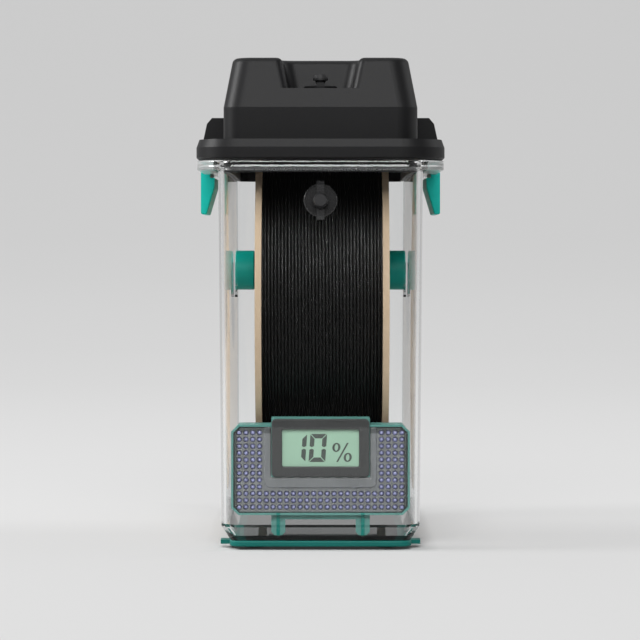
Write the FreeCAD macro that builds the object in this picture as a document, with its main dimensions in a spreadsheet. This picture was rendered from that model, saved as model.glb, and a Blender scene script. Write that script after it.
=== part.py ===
import FreeCAD
import Part
import Sketcher
import math
import os
import re

# A filament dryer box: a clear container with a latched lid, a spool on a roller axle,
# a desiccant cartridge with a hygrometer, and two plugged filament outlets.
# Millimetres. The origin is on the floor under the middle, +Z is up and -Y is the front.

Vector = FreeCAD.Vector

sizes = {
    # fits
    "fit_gap": 0.2,
    "running_gap": 0.3,
    # feet and base tray
    "foot_height": 1.5,
    "foot_radius": 5,
    "foot_recess": 0.8,
    "foot_end_inset": 16,
    "foot_side_inset": 12,
    "base_thickness": 3,
    "base_margin": 0.5,
    "base_round": 0.9,
    "tab_length": 9,
    "tab_reach": 4.6,
    "tab_thickness": 2,
    "tab_end_inset": 10,
    # container
    "body_width": 100.7,
    "body_depth": 222,
    "body_corner": 11,
    "container_height": 186.5,
    "wall": 2.3,
    "wall_taper": 1.45,
    "floor_thickness": 3,
    "bevel_height": 7,
    "bevel_inset": 4.6,
    "rim_thickness": 4.7,
    "rim_overhang": 10.2,
    "rim_round": 0.6,
    "catch_ledge": 5.7,
    "catch_side_gap": 1.5,
    # axle, its cradles and the roller
    "axle_height": 129,
    "axle_radius": 10.3,
    "shaft_radius": 4,
    "cap_end_gap": 0.4,
    "cap_web": 3.2,
    "cap_recess": 1.2,
    "cap_recess_radius": 6.5,
    "cap_chamfer": 0.8,
    "sleeve_overlap": 1.15,
    "sleeve_bore_radius": 6.5,
    "sleeve_end_gap": 0.4,
    "bush_radius": 8,
    "bush_length": 7,
    "cradle_reach": 2.4,
    "cradle_wall": 3,
    "cradle_rise": 4,
    "cradle_drop": 14,
    "cradle_foot": 8,
    # spool and filament
    "spool_radius": 100,
    "spool_width": 66.5,
    "spool_shift": 0.8,
    "spool_bore_radius": 26,
    "flange_thickness": 3.2,
    "core_radius": 42,
    "core_wall": 4,
    "tie_hole_radius": 2.5,
    "tie_hole_inset": 4.6,
    "tie_holes": 4,
    "winding_radius": 93.5,
    "filament_diameter": 1.75,
    "turns": 24,
    # desiccant cartridge
    "cartridge_side_gap": 2.9,
    "cartridge_height": 44.4,
    "cartridge_depth": 16.5,
    "cartridge_corner": 3.4,
    "cartridge_gap": 2.6,
    "frame_wall": 1,
    "leg_height": 9.7,
    "leg_spacing": 41.6,
    "leg_width": 6.9,
    "leg_thickness": 2,
    "leg_setback": 3.4,
    "leg_chamfer": 1.5,
    "rib_width": 1.7,
    "rib_rise": 0.8,
    "rib_depth": 10,
    "bridge_height": 2.5,
    "grille_thickness": 1.5,
    "grille_setback": 0.3,
    "grille_hole_radius": 1.38,
    "grille_pitch": 3.33,
    "grille_border": 2.4,
    "grille_chamfer": 0.5,
    "ledge_width": 3.4,
    "ledge_drop": 5,
    "ledge_height": 1,
    "ledge_corner": 3,
    "ledge_round": 0.5,
    "cover_thickness": 1.6,
    "slot_width": 2.4,
    "slot_height": 26,
    "slot_pitch": 6,
    "slots": 13,
    # hygrometer
    "bezel_lip": 1,
    "bezel_side_border": 5.1,
    "bezel_end_border": 5.2,
    "bezel_thickness": 1.8,
    "bezel_corner": 2.2,
    "bezel_round": 0.6,
    "window_corner": 0.8,
    "case_width": 46,
    "case_height": 26.6,
    "case_depth": 12,
    "case_wall": 1.2,
    "hygro_drop": 11.4,
    "lcd_thickness": 1.2,
    "board_thickness": 1.2,
    "board_setback": 3.2,
    "cell_radius": 5.8,
    "cell_thickness": 5.2,
    "cell_spacing": 16,
    # outlets
    "outlet_drop": 19.4,
    "outlet_pad_radius": 9.6,
    "outlet_pad_rise": 0.5,
    "collar_radius": 8.2,
    "collar_thickness": 1.4,
    "collar_lip_width": 0.8,
    "collar_lip_height": 0.5,
    "collar_chamfer": 0.4,
    "grip_length": 19,
    "grip_width": 3.8,
    "grip_rise": 2,
    "thread_radius": 5,
    "thread_end": 1.2,
    "outlet_bore_radius": 2.3,
    "washer_radius": 7.6,
    "washer_thickness": 1,
    "nut_width": 15,
    "nut_thickness": 4,
    "plug_stem_radius": 2,
    "plug_stem_length": 8,
    "plug_tip_radius": 1.4,
    "plug_tip_length": 1.6,
    "plug_neck_radius": 1.4,
    "plug_cone_radius": 2.8,
    "plug_cone_height": 3.4,
    "plug_head_radius": 3.7,
    "plug_head_height": 1,
    "plug_crown_radius": 2.8,
    "plug_crown_height": 1.8,
    # lid
    "lid_gap": 0.6,
    "flange_overhang": 10.6,
    "flange_height": 9.7,
    "flange_chamfer": 0.9,
    "flange_bevel_height": 3.9,
    "flange_bevel_inset": 1.4,
    "dome_inset": 13.3,
    "dome_corner": 10,
    "dome_wall_height": 15.9,
    "dome_slope_height": 24.5,
    "dome_slope_inset": 5.6,
    "dome_side_inset": 4.6,
    "dome_round": 3,
    "lid_wall": 2.5,
    "skirt_depth": 6.2,
    "skirt_gap": 0.6,
    "skirt_thickness": 2.4,
    "groove_offset": 0.8,
    "groove_width": 4,
    "groove_depth": 2.6,
    "pocket_drop": 15.2,
    "pocket_width": 31.4,
    "pocket_length": 24,
    "pocket_flare": 0.22,
    "pocket_corner": 6,
    "pocket_overrun": 14,
    "pocket_round": 4,
    "lip_width": 2.2,
    "tray_depth": 1.4,
    "tray_inset": 0.6,
    "top_outlet_setback": 12.6,
    # latches
    "latch_width": 52,
    "cheek_gap": 0.4,
    "cheek_thickness": 5,
    "cheek_rise": 13.9,
    "cheek_lean": 2.4,
    "cheek_shoulder": 3,
    "cheek_shoulder_inset": 2.6,
    "pivot_out": 5.7,
    "pivot_rise": 7.3,
    "barrel_radius": 3.4,
    "pin_radius": 1.5,
    "pin_cover": 1.6,
    "notch_gap": 0.5,
    "arm_gap": 1.1,
    "arm_thickness": 4.8,
    "hook_bite": 1.2,
    "hook_slack": 1.8,
    "hook_height": 5.1,
    "finger_thickness": 3,
    "latch_drop": 20.7,
    "latch_round": 1,
}

# Positions and widths that follow from the sizes above.
derived = {
    "bottom_z": "foot_height + base_thickness",
    "floor_z": "bottom_z + floor_thickness",
    "bevel_top_z": "bottom_z + bevel_height",
    "rim_top_z": "bottom_z + container_height",
    "rim_under_z": "rim_top_z - rim_thickness",
    "lower_width": "body_width - 2 * wall_taper",
    "lower_depth": "body_depth - 2 * wall_taper",
    "lower_corner": "body_corner - wall_taper",
    "foot_width": "lower_width - 2 * bevel_inset",
    "foot_depth": "lower_depth - 2 * bevel_inset",
    "foot_corner": "lower_corner - bevel_inset",
    "base_width": "foot_width + 2 * base_margin",
    "base_depth": "foot_depth + 2 * base_margin",
    "catch_x": "body_width / 2 + catch_ledge",
    "catch_half": "latch_width / 2 + catch_side_gap",
    "axle_z": "floor_z + axle_height",
    "inner_half": "lower_width / 2 - wall",
    "sleeve_length": "spool_width + 2 * sleeve_overlap",
    "cap_x": "sleeve_length / 2 + sleeve_end_gap",
    "cap_length": "inner_half - cap_end_gap - cap_x",
    "shaft_seat": "cap_length - cap_recess - cap_web",
    "spool_z": "axle_z + axle_radius + running_gap - spool_bore_radius",
    "spool_gap": "spool_width - 2 * flange_thickness",
    "cartridge_width": "2 * inner_half - 2 * cartridge_side_gap",
    "cartridge_z": "floor_z + leg_height",
    "cartridge_top_z": "cartridge_z + cartridge_height",
    "cartridge_y": "lower_depth / 2 - wall - cartridge_gap",
    "hygro_z": "cartridge_top_z - hygro_drop",
    "bezel_width": "case_width + 2 * bezel_lip",
    "bezel_height": "case_height + 2 * bezel_lip",
    "bay_half": "case_width / 2 + fit_gap",
    "bay_rise": "case_height / 2 + fit_gap",
    "bump_half": "bay_half + frame_wall",
    "bump_rise": "bay_rise + frame_wall",
    "outlet_z": "rim_top_z - outlet_drop",
    "outlet_wall_y": "body_depth / 2 - wall_taper * outlet_drop / (container_height - bevel_height)",
    "outlet_pad_y": "outlet_wall_y + outlet_pad_rise",
    "outlet_pad_thickness": "wall + 2 * outlet_pad_rise",
    "collar_face": "washer_thickness + collar_thickness",
    "lid_z": "rim_top_z + lid_gap",
    "flange_top_z": "lid_z + flange_height",
    "flange_width": "body_width + 2 * flange_overhang",
    "flange_depth": "body_depth + 2 * flange_overhang",
    "flange_corner": "body_corner + flange_overhang",
    "dome_width": "flange_width - 2 * dome_inset",
    "dome_depth": "flange_depth - 2 * dome_inset",
    "break_z": "flange_top_z + dome_wall_height",
    "lid_top_z": "break_z + dome_slope_height",
    "pocket_z": "lid_top_z - pocket_drop",
    "tray_z": "pocket_z - tray_depth",
    "skirt_width": "body_width - 2 * wall - 2 * skirt_gap",
    "skirt_depth_out": "body_depth - 2 * wall - 2 * skirt_gap",
    "skirt_corner": "body_corner - wall - skirt_gap",
    "groove_half": "body_width / 2 + groove_offset",
    "recess_front": "dome_depth / 2 - dome_slope_inset * (1 - pocket_drop / dome_slope_height)",
    "top_outlet_y": "recess_front - top_outlet_setback",
    "slot_half": "latch_width / 2 + cheek_gap",
    "pivot_x": "body_width / 2 + pivot_out",
    "pivot_z": "flange_top_z + pivot_rise",
    "cheek_span": "latch_width + 2 * cheek_gap + 2 * cheek_thickness",
    "pin_length": "cheek_span - pin_cover",
    "arm_x": "catch_x + arm_gap",
    "latch_x": "arm_x + arm_thickness",
    "hook_x": "catch_x - hook_bite",
    "hook_z": "rim_under_z - hook_slack",
    "latch_z": "rim_under_z - latch_drop",
}

doc = FreeCAD.newDocument("FilamentDryerBox")
sheet = doc.addObject("Spreadsheet::Sheet", "Sizes")
for row, (name, size) in enumerate(sizes.items(), start=1):
    sheet.set(f"A{row}", name)
    sheet.set(f"B{row}", str(size))
    sheet.setAlias(f"B{row}", name)
doc.recompute()

nodes = []


def bound(text):
    # Size names in the text become links to the sheet.
    def link(match):
        word = match.group()
        if word in derived:
            return "(" + bound(derived[word]) + ")"
        if word in sizes:
            return "Sizes." + word
        return word

    return re.sub(r"[a-z][a-z_]*", link, text)


def value(text):
    return float(sheet.evalExpression(bound(text)))


def bind(thing, **expressions):
    for key, text in expressions.items():
        thing.setExpression(key.replace("__", "."), bound(text))


def new_body(label):
    body = doc.addObject("PartDesign::Body", label)
    nodes.append(body)
    return body


def body_sketch(body, plane, offset="0"):
    sketch = body.newObject("Sketcher::SketchObject", "Sketch")
    supports = {feature.Role: feature for feature in body.Origin.OriginFeatures}
    sketch.AttachmentSupport = [(supports[plane], "")]
    sketch.MapMode = "FlatFace"
    bind(sketch, AttachmentOffset__Base__z=offset)
    return sketch


def level_sketch(z):
    sketch = doc.addObject("Sketcher::SketchObject", "Level")
    bind(sketch, Placement__Base__z=z)
    return sketch


def upright_sketch():
    sketch = doc.addObject("Sketcher::SketchObject", "Upright")
    sketch.Placement = FreeCAD.Placement(Vector(), FreeCAD.Rotation(Vector(1, 0, 0), 90))
    return sketch


def place_point(sketch, geometry, position, x, y):
    across, up = sketch.addConstraint([
        Sketcher.Constraint("DistanceX", -1, 1, geometry, position, value(x)),
        Sketcher.Constraint("DistanceY", -1, 1, geometry, position, value(y)),
    ])
    sketch.setExpression(f"Constraints[{across}]", bound(x))
    sketch.setExpression(f"Constraints[{up}]", bound(y))


def polygon(sketch, points):
    count = len(points)
    corners = [Vector(value(x), value(y), 0) for x, y in points]
    first = sketch.GeometryCount
    sketch.addGeometry([Part.LineSegment(corners[i], corners[(i + 1) % count]) for i in range(count)])
    sketch.addConstraint([
        Sketcher.Constraint("Coincident", first + i, 2, first + (i + 1) % count, 1) for i in range(count)
    ])
    for i, (x, y) in enumerate(points):
        place_point(sketch, first + i, 1, x, y)
    return sketch


def rectangle(sketch, left, right, low, high):
    return polygon(sketch, [(left, low), (right, low), (right, high), (left, high)])


def both_sides(sketch, points):
    polygon(sketch, points)
    polygon(sketch, [(f"-({x})", y) for x, y in points])
    return sketch


def circle(sketch, radius, x="0", y="0"):
    shape = Part.Circle(Vector(value(x), value(y), 0), Vector(0, 0, 1), value(radius))
    geometry = sketch.addGeometry(shape)
    place_point(sketch, geometry, 3, x, y)
    size = sketch.addConstraint(Sketcher.Constraint("Radius", geometry, value(radius)))
    sketch.setExpression(f"Constraints[{size}]", bound(radius))
    return sketch


def rounded_rectangle(sketch, width, depth, radius, y="0"):
    sides = {
        "right": f"({width}) / 2",
        "left": f"-({width}) / 2",
        "front": f"{y} - ({depth}) / 2",
        "back": f"{y} + ({depth}) / 2",
    }
    right, left, front, back = (value(text) for text in sides.values())
    round_size = value(radius)
    first = sketch.GeometryCount
    straight = [
        (left + round_size, front, right - round_size, front),
        (right, front + round_size, right, back - round_size),
        (right - round_size, back, left + round_size, back),
        (left, back - round_size, left, front + round_size),
    ]
    centres = [
        (right - round_size, front + round_size),
        (right - round_size, back - round_size),
        (left + round_size, back - round_size),
        (left + round_size, front + round_size),
    ]
    for i in range(4):
        x_start, y_start, x_end, y_end = straight[i]
        sketch.addGeometry(Part.LineSegment(Vector(x_start, y_start, 0), Vector(x_end, y_end, 0)))
        turn = Part.Circle(Vector(*centres[i], 0), Vector(0, 0, 1), round_size)
        sketch.addGeometry(Part.ArcOfCircle(turn, (i - 1) * math.pi / 2, i * math.pi / 2))
    rules = [Sketcher.Constraint("Tangent", first + i, 2, first + (i + 1) % 8, 1) for i in range(8)]
    rules += [Sketcher.Constraint("Equal", first + 1, first + i) for i in (3, 5, 7)]
    rules += [Sketcher.Constraint("Horizontal", first + i) for i in (0, 4)]
    rules += [Sketcher.Constraint("Vertical", first + i) for i in (2, 6)]
    sketch.addConstraint(rules)
    fixed = sketch.addConstraint([
        Sketcher.Constraint("DistanceX", -1, 1, first + 2, 1, right),
        Sketcher.Constraint("DistanceX", -1, 1, first + 6, 1, left),
        Sketcher.Constraint("DistanceY", -1, 1, first, 1, front),
        Sketcher.Constraint("DistanceY", -1, 1, first + 4, 1, back),
        Sketcher.Constraint("Radius", first + 1, round_size),
    ])
    for number, text in zip(fixed, [*sides.values(), radius]):
        sketch.setExpression(f"Constraints[{number}]", bound(text))
    return sketch


def pad(body, sketch, length, symmetric=False, backward=False):
    feature = body.newObject("PartDesign::Pad", "Pad")
    feature.Profile = sketch
    bind(feature, Length=length)
    feature.SideType = "Symmetric" if symmetric else "One side"
    feature.Reversed = backward
    return feature


def pocket(body, sketch, length, symmetric=False, backward=False):
    doc.recompute()
    before = body.Shape.Volume
    feature = body.newObject("PartDesign::Pocket", "Pocket")
    feature.Profile = sketch
    bind(feature, Length=length)
    feature.SideType = "Symmetric" if symmetric else "One side"
    feature.Reversed = backward
    doc.recompute()
    if body.Shape.Volume >= before:
        raise RuntimeError(f"a pocket in {body.Label} cuts nothing")
    return feature


def revolve(body, sketch, axis):
    feature = body.newObject("PartDesign::Revolution", "Revolution")
    feature.Profile = sketch
    feature.ReferenceAxis = (sketch, [axis])
    feature.Angle = 360
    return feature


def body_loft(body, kind, sections):
    feature = body.newObject(kind, "Loft")
    feature.Profile = sections[0]
    feature.Sections = sections[1:]
    feature.Ruled = True
    return feature


def body_fillet(body, radius, wanted):
    doc.recompute()
    base = body.Tip
    names = [f"Edge{i}" for i, edge in enumerate(base.Shape.Edges, start=1) if wanted(edge)]
    feature = body.newObject("PartDesign::Fillet", "Fillet")
    feature.Base = (base, names)
    bind(feature, Radius=radius)
    return feature


def loft(name, sections):
    solid = doc.addObject("Part::Loft", name)
    solid.Sections = sections
    solid.Solid = True
    solid.Ruled = True
    return solid


def extrude(name, sketch, length, symmetric=False):
    solid = doc.addObject("Part::Extrusion", name)
    solid.Base = sketch
    solid.DirMode = "Normal"
    solid.Solid = True
    solid.Symmetric = symmetric
    bind(solid, LengthFwd=length)
    return solid


def fuse(name, pieces):
    solid = doc.addObject("Part::MultiFuse", name)
    solid.Shapes = pieces
    return solid


def cut(name, base, tool):
    solid = doc.addObject("Part::Cut", name)
    solid.Base = base
    solid.Tool = tool
    return solid


def cylinder(name, radius, length):
    solid = doc.addObject("Part::Cylinder", name)
    bind(solid, Radius=radius, Height=length)
    return solid


def box(name, width, depth, height, x, y, z):
    solid = doc.addObject("Part::Box", name)
    bind(solid, Length=width, Width=depth, Height=height)
    bind(solid, Placement__Base__x=x, Placement__Base__y=y, Placement__Base__z=z)
    return solid


def group(label, pieces):
    compound = doc.addObject("Part::Compound", label)
    compound.Links = pieces
    nodes.append(compound)


def mirror_node(label, source):
    copy = doc.addObject("Part::Mirroring", label)
    copy.Source = source
    copy.Normal = Vector(1, 0, 0)
    nodes.append(copy)


def build_container():
    body = new_body("container")
    levels = [
        ("bottom_z", "foot_width", "foot_depth", "foot_corner"),
        ("bevel_top_z", "lower_width", "lower_depth", "lower_corner"),
        ("rim_top_z", "body_width", "body_depth", "body_corner"),
    ]
    inner_z = ["floor_z", "bevel_top_z + wall / 2", "rim_top_z"]
    outside = []
    for z, width, depth, corner in levels:
        outside.append(rounded_rectangle(body_sketch(body, "XY_Plane", z), width, depth, corner))
    body_loft(body, "PartDesign::AdditiveLoft", outside)
    rim = body_sketch(body, "XY_Plane", "rim_under_z")
    overhang = "2 * rim_overhang"
    rounded_rectangle(rim, f"body_width + {overhang}", f"body_depth + {overhang}", "body_corner + rim_overhang")
    pad(body, rim, "rim_thickness")
    edge_of_rim = value("body_width / 2 + rim_overhang / 2")
    end_of_rim = value("body_depth / 2 + rim_overhang / 2")

    def on_rim(edge):
        bounds = edge.BoundBox
        outer = max(abs(bounds.Center.x) - edge_of_rim, abs(bounds.Center.y) - end_of_rim)
        return bounds.ZLength < 0.01 and outer > 0

    body_fillet(body, "rim_round", on_rim)
    inside = []
    for z, (_, width, depth, corner) in zip(inner_z, levels):
        section = body_sketch(body, "XY_Plane", z)
        inside.append(rounded_rectangle(section, f"{width} - 2 * wall", f"{depth} - 2 * wall",
                                        f"{corner} - wall"))
    body_loft(body, "PartDesign::SubtractiveLoft", inside)
    # The axle cradles stand on the long walls and open upward.
    slot_half = "axle_radius + fit_gap"
    side = f"{slot_half} + cradle_wall"
    cradle = body_sketch(body, "YZ_Plane", "inner_half - cradle_reach")
    polygon(cradle, [
        (f"-({side})", "axle_z + cradle_rise"),
        (f"-({side})", "axle_z - cradle_foot"),
        (f"-({side}) / 2", "axle_z - cradle_drop"),
        (f"({side}) / 2", "axle_z - cradle_drop"),
        (side, "axle_z - cradle_foot"),
        (side, "axle_z + cradle_rise"),
    ])
    right = pad(body, cradle, "cradle_reach + wall")
    doc.recompute()
    mirrored = body.newObject("PartDesign::Mirrored", "Mirrored")
    mirrored.Originals = [right]
    supports = {feature.Role: feature for feature in body.Origin.OriginFeatures}
    mirrored.MirrorPlane = (supports["YZ_Plane"], [""])
    body.Tip = mirrored
    span = "2 * inner_half"
    pocket(body, circle(body_sketch(body, "YZ_Plane"), slot_half, "0", "axle_z"), span, symmetric=True)
    mouth = body_sketch(body, "YZ_Plane")
    rectangle(mouth, f"-({slot_half})", slot_half, "axle_z", "axle_z + cradle_rise")
    pocket(body, mouth, span, symmetric=True)
    # A flat pad on the sloping front wall carries the front outlet.
    seat = circle(body_sketch(body, "XZ_Plane", "outlet_pad_y"), "outlet_pad_radius", "0", "outlet_z")
    pad(body, seat, "outlet_pad_thickness", backward=True)
    bore = body_sketch(body, "XZ_Plane", "outlet_pad_y")
    circle(bore, "thread_radius + fit_gap", "0", "outlet_z")
    pocket(body, bore, "outlet_pad_thickness")
    # The rim steps back where the latches hook under it.
    step = body_sketch(body, "XY_Plane", "rim_top_z")
    both_sides(step, [
        ("catch_x", "-catch_half"),
        ("body_width / 2 + 2 * rim_overhang", "-catch_half"),
        ("body_width / 2 + 2 * rim_overhang", "catch_half"),
        ("catch_x", "catch_half"),
    ])
    pocket(body, step, "rim_thickness")


def build_base():
    body = new_body("base_tray")
    plate = body_sketch(body, "XY_Plane", "foot_height")
    rounded_rectangle(plate, "base_width", "base_depth", "foot_corner + base_margin")
    pad(body, plate, "base_thickness")
    body_fillet(body, "base_round", lambda edge: edge.BoundBox.ZLength < 0.01)
    tabs = body_sketch(body, "XY_Plane", "foot_height + (base_thickness - tab_thickness) / 2")
    inner = "base_width / 2 - tab_reach / 2"
    outer = "base_width / 2 + tab_reach"
    near = "base_depth / 2 - tab_end_inset"
    far = f"{near} - tab_length"
    both_sides(tabs, [(inner, far), (outer, far), (outer, near), (inner, near)])
    both_sides(tabs, [(inner, f"-({near})"), (outer, f"-({near})"), (outer, f"-({far})"), (inner, f"-({far})")])
    pad(body, tabs, "tab_thickness")
    seats = body_sketch(body, "XY_Plane", "foot_height")
    foot_x = "base_width / 2 - foot_side_inset"
    foot_y = "base_depth / 2 - foot_end_inset"
    spots = [(a, b) for a in (foot_x, f"-({foot_x})") for b in (foot_y, f"-({foot_y})")]
    for x, y in spots:
        circle(seats, "foot_radius + fit_gap", x, y)
    pocket(body, seats, "foot_recess", backward=True)
    feet = []
    for x, y in spots:
        foot = cylinder("foot", "foot_radius", "foot_height + foot_recess")
        bind(foot, Placement__Base__x=x, Placement__Base__y=y)
        feet.append(foot)
    group("rubber_feet", feet)


def build_axle():
    shaft = cylinder("axle_shaft", "shaft_radius", "2 * (cap_x + shaft_seat)")
    shaft.Placement.Rotation = FreeCAD.Rotation(Vector(0, 1, 0), 90)
    bind(shaft, Placement__Base__x="-(cap_x + shaft_seat)", Placement__Base__z="axle_z")
    nodes.append(shaft)
    cap = new_body("axle_cap_right")
    cap_end = "cap_x + cap_length"
    polygon(profile := body_sketch(cap, "XZ_Plane"), [
        ("cap_x", "shaft_radius + fit_gap"),
        ("cap_x", "axle_radius - cap_chamfer / 2"),
        ("cap_x + cap_chamfer / 2", "axle_radius"),
        (f"{cap_end} - cap_chamfer", "axle_radius"),
        (cap_end, "axle_radius - cap_chamfer"),
        (cap_end, "cap_recess_radius"),
        (f"{cap_end} - cap_recess", "cap_recess_radius"),
        (f"{cap_end} - cap_recess", "0"),
        ("cap_x + shaft_seat", "0"),
        ("cap_x + shaft_seat", "shaft_radius + fit_gap"),
    ])
    revolve(cap, profile, "H_Axis")
    bind(cap, Placement__Base__z="axle_z")
    mirror_node("axle_cap_left", cap)
    sleeve = new_body("roller_sleeve")
    end = "sleeve_length / 2"
    shoulder = f"{end} - bush_length"
    seat = "bush_radius + fit_gap / 2"
    polygon(profile := body_sketch(sleeve, "XZ_Plane"), [
        (f"-{end}", "axle_radius"),
        (end, "axle_radius"),
        (end, seat),
        (shoulder, seat),
        (shoulder, "sleeve_bore_radius"),
        (f"-({shoulder})", "sleeve_bore_radius"),
        (f"-({shoulder})", seat),
        (f"-{end}", seat),
    ])
    revolve(sleeve, profile, "H_Axis")
    bind(sleeve, Placement__Base__z="axle_z")
    bush = new_body("roller_bush_right")
    profile = body_sketch(bush, "XZ_Plane")
    rectangle(profile, shoulder, end, "shaft_radius + running_gap", "bush_radius")
    revolve(bush, profile, "H_Axis")
    bind(bush, Placement__Base__z="axle_z")
    mirror_node("roller_bush_left", bush)


def build_spool():
    for label, inner in (("left", "-spool_width / 2"), ("right", "spool_width / 2 - flange_thickness")):
        flange = new_body(f"spool_flange_{label}")
        disc = circle(body_sketch(flange, "YZ_Plane", inner), "spool_radius")
        circle(disc, "spool_bore_radius")
        pad(flange, disc, "flange_thickness")
        tie = circle(body_sketch(flange, "YZ_Plane", inner), "tie_hole_radius",
                     "0", "spool_radius - tie_hole_inset")
        hole = pocket(flange, tie, "flange_thickness", backward=True)
        ring = flange.newObject("PartDesign::PolarPattern", "PolarPattern")
        ring.Originals = [hole]
        supports = {feature.Role: feature for feature in flange.Origin.OriginFeatures}
        ring.Axis = (supports["X_Axis"], [""])
        ring.Angle = 360
        bind(ring, Occurrences="tie_holes")
        flange.Tip = ring
        bind(flange, Placement__Base__x="spool_shift", Placement__Base__z="spool_z")
    for label, outer, inner in (
        ("spool_core", "core_radius", "core_radius - core_wall"),
        ("filament_pack", "winding_radius - filament_diameter - fit_gap", "core_radius + fit_gap / 2"),
    ):
        ring = new_body(label)
        section = circle(circle(body_sketch(ring, "YZ_Plane"), outer), inner)
        pad(ring, section, "spool_gap", symmetric=True)
        bind(ring, Placement__Base__x="spool_shift", Placement__Base__z="spool_z")


def arc_between(start, end, heading):
    # The arc that leaves start along heading and ends at end.
    chord = end - start
    inward = (chord - heading * chord.dot(heading)).normalize()
    radius = chord.dot(chord) / (2 * chord.dot(inward))
    centre = start + inward * radius
    middle = ((start + end) * 0.5 - centre).normalize()
    return Part.Arc(start, centre + middle * radius, end).toShape()


def build_outer_layer():
    # One unbroken filament, drawn six-sided, winds from flange to flange on half-turn pairs of arcs.
    strand = value("filament_diameter / 2")
    radius = value("winding_radius") - strand
    turns = int(value("turns"))
    travel = value("spool_gap - filament_diameter - 2 * running_gap")
    pitch = travel / turns

    def point(turn):
        angle = 2 * math.pi * turn
        return Vector(pitch * turn - travel / 2, radius * math.cos(angle), radius * math.sin(angle))

    def heading(turn):
        angle = 2 * math.pi * turn
        rise = pitch / (2 * math.pi)
        return Vector(rise, -radius * math.sin(angle), radius * math.cos(angle)).normalize()

    lead = value("filament_diameter")
    start = point(0) - heading(0) * lead
    edges = [Part.makeLine(start, point(0))]
    for half in range(2 * turns):
        near, far = point(half / 2), point((half + 1) / 2)
        leave, arrive = heading(half / 2), heading((half + 1) / 2)
        chord = far - near
        along = chord.dot(leave + arrive)
        bend = 2 * (1 - leave.dot(arrive))
        reach = (math.sqrt(along ** 2 + bend * chord.dot(chord)) - along) / bend
        joint = (near + far + (leave - arrive) * reach) * 0.5
        knee = (joint - near - leave * reach).normalize()
        edges.append(arc_between(near, joint, leave))
        edges.append(arc_between(joint, far, knee))
    edges.append(Part.makeLine(point(turns), point(turns) + heading(turns) * lead))
    outward = Vector(0, 1, 0)
    sideways = heading(0).cross(outward)
    corners = []
    for side in range(7):
        angle = side * math.pi / 3
        corners.append(start + outward * (strand * math.cos(angle)) + sideways * (strand * math.sin(angle)))
    layer = doc.addObject("Part::Feature", "filament_outer_layer")
    layer.Shape = Part.Wire(edges).makePipeShell([Part.makePolygon(corners)], True, False)
    bind(layer, Placement__Base__x="spool_shift", Placement__Base__z="spool_z")
    nodes.append(layer)
    first_turn = [point(step / 48) for step in range(48)]
    next_turns = [point(step / 48) for step in range(24, 144)]
    closest = min(a.distanceToPoint(b) for a in first_turn[:1] for b in next_turns)
    print("least gap of the filament to itself", round(closest - 2 * strand, 3))


def cartridge_outline():
    half, cutoff = "cartridge_width / 2", "cartridge_corner"
    low, high = "cartridge_z", "cartridge_top_z"
    right = [
        (f"{half} - {cutoff}", low),
        (half, f"{low} + {cutoff}"),
        (half, f"{high} - {cutoff}"),
        (f"{half} - {cutoff}", high),
        ("bump_half", high),
        ("bump_half", "hygro_z + bump_rise"),
    ]
    return right + [(f"-({x})", y) for x, y in reversed(right)]


def chamber_outline(gap):
    half = f"cartridge_width / 2 - frame_wall - {gap}"
    cutoff = "cartridge_corner - frame_wall / 2"
    low = f"cartridge_z + frame_wall + {gap}"
    high = f"cartridge_top_z - frame_wall - {gap}"
    right = [
        (f"{half} - ({cutoff})", low),
        (half, f"{low} + {cutoff}"),
        (half, f"{high} - ({cutoff})"),
        (f"{half} - ({cutoff})", high),
        (f"bump_half + {gap}", high),
        (f"bump_half + {gap}", f"hygro_z - bump_rise - {gap}"),
    ]
    return right + [(f"-({x})", y) for x, y in reversed(right)]


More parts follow.
